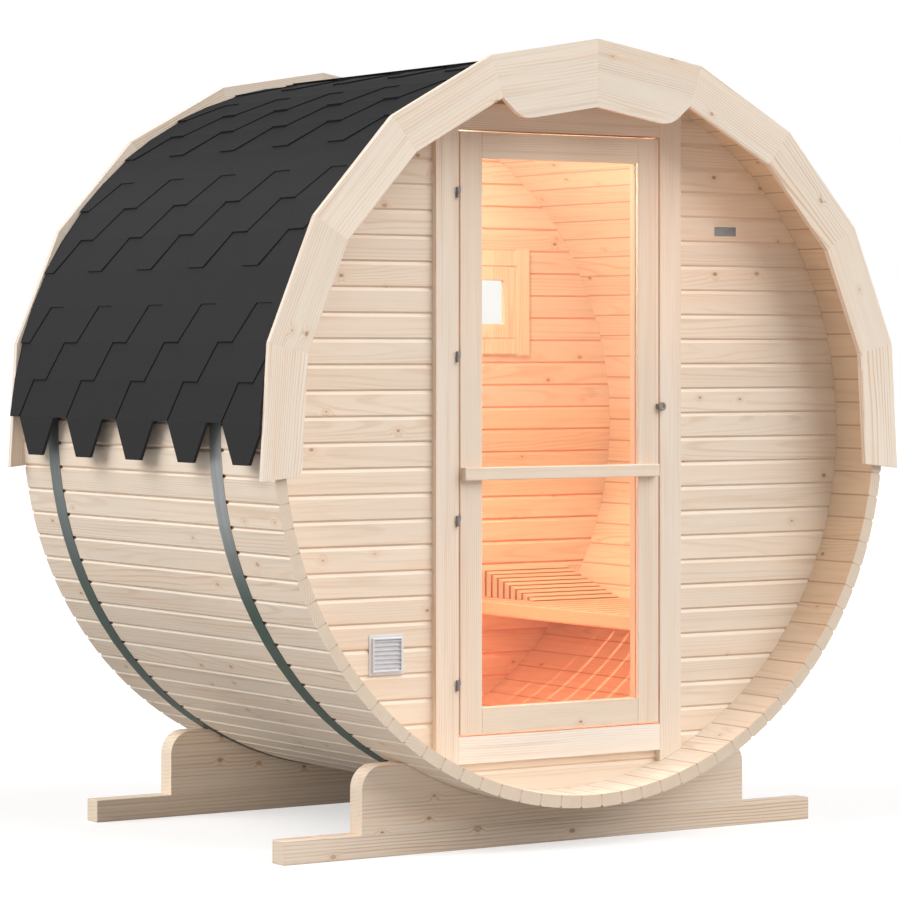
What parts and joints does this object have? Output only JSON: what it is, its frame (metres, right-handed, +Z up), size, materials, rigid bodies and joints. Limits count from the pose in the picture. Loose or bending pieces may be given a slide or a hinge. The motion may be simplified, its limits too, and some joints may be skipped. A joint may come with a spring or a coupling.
{
  "type": "barrel sauna",
  "caption": "Round timber sauna cabin lying on cradles, with a shingled roof, recessed end walls, a glazed door that swings out, benches and a small rear window.",
  "frame": {"origin": "on the ground under the middle of the barrel", "axes": "+X right across the front, +Y from the door to the rear wall along the barrel, +Z up"},
  "size_m": [2.0876, 1.4064, 2.1563],
  "materials": {
    "spruce": "planed, unpainted spruce",
    "shingle": "dark grey bitumen felt shingle",
    "steel": "dull galvanised steel",
    "vent_grey": "satin grey plastic",
    "plate_steel": "brushed",
    "clear_glass": "clear"
  },
  "bodies": {
    "cabin": {"staves_bottom": "spruce", "staves_lower_left": "spruce", "staves_left": "spruce", "staves_upper_left": "spruce", "staves_top": "spruce", "staves_upper_right": "spruce", "staves_right": "spruce", "staves_lower_right": "spruce", "steel_bands": "steel", "roof_shingles_left": "shingle", "roof_shingles_right": "shingle", "ridge_cap": "shingle", "front_fascia_top_left": "spruce", "front_fascia_top_right": "spruce", "front_fascia_upper_boards": "spruce", "front_fascia_lower_boards": "spruce", "rear_fascia_top_left": "spruce", "rear_fascia_top_right": "spruce", "rear_fascia_upper_boards": "spruce", "rear_fascia_lower_boards": "spruce", "front_wall_left": "spruce", "front_wall_right": "spruce", "front_wall_above_door": "spruce", "front_wall_below_door": "spruce", "rear_wall_left": "spruce", "rear_wall_right": "spruce", "rear_wall_above_window": "spruce", "rear_wall_below_window": "spruce", "door_posts": "spruce", "door_head": "spruce", "door_threshold": "spruce", "post_hinges": "steel", "vent_grille": "vent_grey", "blank_metal_plate": "plate_steel", "window_sash": "spruce", "window_glass": "clear_glass", "window_trim": "spruce", "front_cradle_beam": "spruce", "front_cradle_saddle": "spruce", "rear_cradle_beam": "spruce", "rear_cradle_saddle": "spruce", "floor_boards": "spruce", "floor_bearers": "spruce", "left_bench_slats": "spruce", "right_bench_slats": "spruce", "bench_frames": "spruce", "left_headrest": "spruce", "right_headrest": "spruce"},
    "door": {"door_stiles": "spruce", "door_rails": "spruce", "door_glass": "clear_glass", "door_pull_bar": "spruce", "leaf_hinges": "steel", "door_catch": "steel"}
  },
  "joints": [
    {"name": "door_swing", "type": "hinge", "parent": "cabin", "child": "door", "pos_m": [-0.347, -0.54905, 1.107], "axis": [0, 0, -1], "range_deg": [0, 105]}
  ]
}
